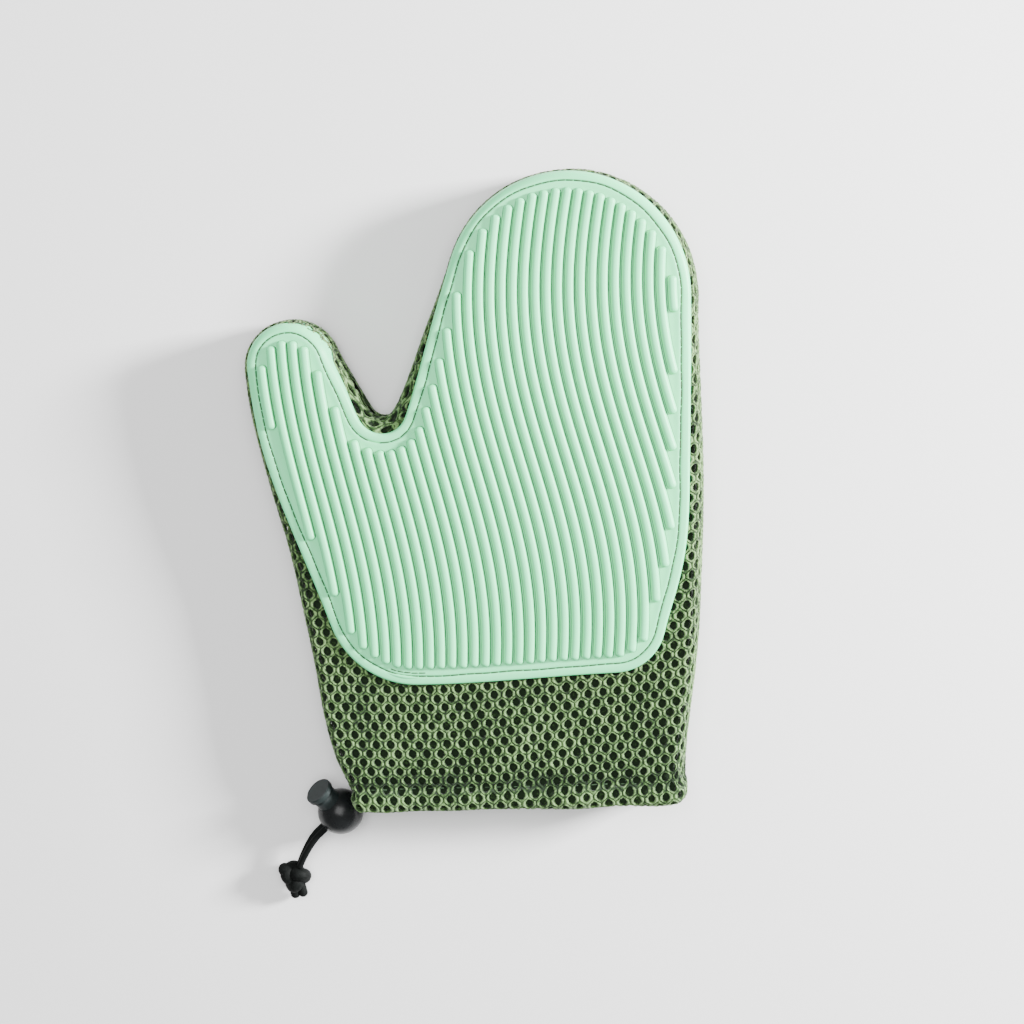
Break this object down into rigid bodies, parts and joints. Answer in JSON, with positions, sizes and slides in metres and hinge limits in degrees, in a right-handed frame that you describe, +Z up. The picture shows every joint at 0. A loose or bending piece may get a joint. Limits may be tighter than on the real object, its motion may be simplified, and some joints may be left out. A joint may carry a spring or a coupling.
{
  "type": "grooming glove",
  "caption": "Mesh grooming mitt with a ribbed silicone palm pad, a folded hem and a drawcord closed by a ball cord lock with a sprung push button.",
  "frame": {"origin": "bottom centre of the mitt without its free cord, on the surface it lies on", "axes": "+Z up out of the palm pad, +Y to the finger tip, thumb at -X"},
  "size_m": [0.1767, 0.2802, 0.0271],
  "materials": {
    "silicone": "soft satin, moulded ribs",
    "pad_thread": "matt twisted thread",
    "mesh": "matt open spacer mesh",
    "seam_thread": "matt twisted thread",
    "binding": "matt woven tape",
    "hem_thread": "matt twisted thread",
    "cord": "matt braided",
    "lock_black": "glossy",
    "plunger_black": "satin",
    "spring_steel": "bright wire"
  },
  "bodies": {
    "mitt": {"silicone_pad": "silicone", "pad_stitching": "pad_thread", "front_panel": "mesh", "back_panel": "mesh", "side_seam_thread": "seam_thread", "seam_binding": "binding", "hem_stitching": "hem_thread", "drawcord": "cord", "drawcord_tail_upper": "cord", "drawcord_tail_lower": "cord", "cord_knot": "cord"},
    "lock": {"lock_housing": "lock_black", "lock_spring": "spring_steel"},
    "plunger": {"lock_plunger": "plunger_black"}
  },
  "joints": [
    {"name": "lock_slide", "type": "slide", "parent": "mitt", "child": "lock", "axis": [-0.7431, -0.6691, 0], "range_m": [0, 0.008]},
    {"name": "plunger_press", "type": "slide", "parent": "lock", "child": "plunger", "axis": [0.4717, -0.7263, -0.5], "range_m": [0, 0.0022], "stiffness_N_per_m": 400, "springref_m": -0.002, "deforming": ["lock_spring"]}
  ]
}
